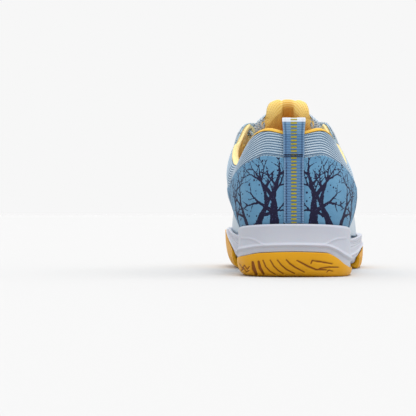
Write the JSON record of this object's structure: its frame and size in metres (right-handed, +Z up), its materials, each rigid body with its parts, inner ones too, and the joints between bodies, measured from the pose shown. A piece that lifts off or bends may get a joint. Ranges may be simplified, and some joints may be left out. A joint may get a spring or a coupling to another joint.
{
  "type": "court shoe",
  "caption": "Low-cut lace-up court shoe for the right foot, with a cupped foam midsole, wrapped rubber outsole, padded collar, laced throat and a heel pull loop.",
  "frame": {"origin": "on the floor, under the middle of the shoe's bounding box", "axes": "+Z up, +Y from the heel to the toe, +X to the outer side of the right foot"},
  "size_m": [0.1079, 0.298, 0.1266],
  "materials": {
    "yellow_rubber": "moulded rubber with a satin skin and fine tread grain",
    "white_foam": "moulded foam with a fine skin",
    "shank_plastic": "glossy moulded plate",
    "pad_gel": "soft polymer",
    "board": "fibre board with stitched edge",
    "sock_foam": "open foam",
    "yellow_lining": "brushed mesh with small cells",
    "counter_board": "thermoplastic sheet",
    "padding": "soft foam",
    "pale_mesh": "fine knitted mesh",
    "ribbed_mesh": "ribbed sandwich mesh",
    "printed_film": "woven textile printed with dark branches",
    "pale_film": "smooth synthetic leather film",
    "tongue_mesh": "textured mesh",
    "webbing": "ribbed webbing with a dashed yellow line down its middle",
    "navy_thread": "dense stitching",
    "navy_webbing": "flat woven webbing",
    "lace_cord": "braided cord",
    "aglet_plastic": "shrunk plastic sleeve"
  },
  "bodies": {
    "shoe": {"outsole_heel": "yellow_rubber", "outsole_forefoot": "yellow_rubber", "midsole": "white_foam", "arch_shank": "shank_plastic", "heel_cushion": "pad_gel", "forefoot_cushion": "pad_gel", "strobel_board": "board", "heel_counter": "counter_board", "toe_puff": "counter_board", "collar_panel": "ribbed_mesh", "collar_foam": "padding", "collar_lining": "yellow_lining", "collar_piping": "yellow_lining", "vamp": "pale_mesh", "vamp_lining": "yellow_lining", "toe_cap": "pale_film", "quarter_lateral": "pale_mesh", "quarter_medial": "pale_mesh", "heel_print_lateral": "printed_film", "heel_print_medial": "printed_film", "side_overlay_lateral": "pale_film", "side_overlay_medial": "pale_film", "mudguard_lateral": "pale_film", "mudguard_medial": "pale_film", "eyestay_lateral": "pale_film", "eyestay_medial": "pale_film", "lace_loop_lateral": "navy_webbing", "lace_loop_medial": "navy_webbing", "heel_strip": "webbing", "pull_tab_tail": "webbing", "pull_tab_bartack": "navy_thread", "lace": "lace_cord", "aglet_lateral": "aglet_plastic", "aglet_medial": "aglet_plastic"},
    "tongue": {"tongue_outer": "tongue_mesh", "tongue_foam": "padding", "tongue_lining": "yellow_lining"},
    "pull_loop": {"pull_tab": "webbing"},
    "insole": {"insole": "sock_foam", "insole_cover": "yellow_lining"}
  },
  "joints": [
    {"name": "tongue_fold", "type": "hinge", "parent": "shoe", "child": "tongue", "pos_m": [-0.0045, 0.086, 0.0475], "axis": [1, 0, 0], "range_deg": [0, 10]},
    {"name": "pull_loop_tilt", "type": "hinge", "parent": "shoe", "child": "pull_loop", "pos_m": [0, -0.1314, 0.0965], "axis": [1, 0, 0], "range_deg": [-12, 12]},
    {"name": "insole_lift", "type": "hinge", "parent": "shoe", "child": "insole", "pos_m": [-0.006, 0.136, 0.0247], "axis": [-1, 0, 0], "range_deg": [0, 5]}
  ]
}
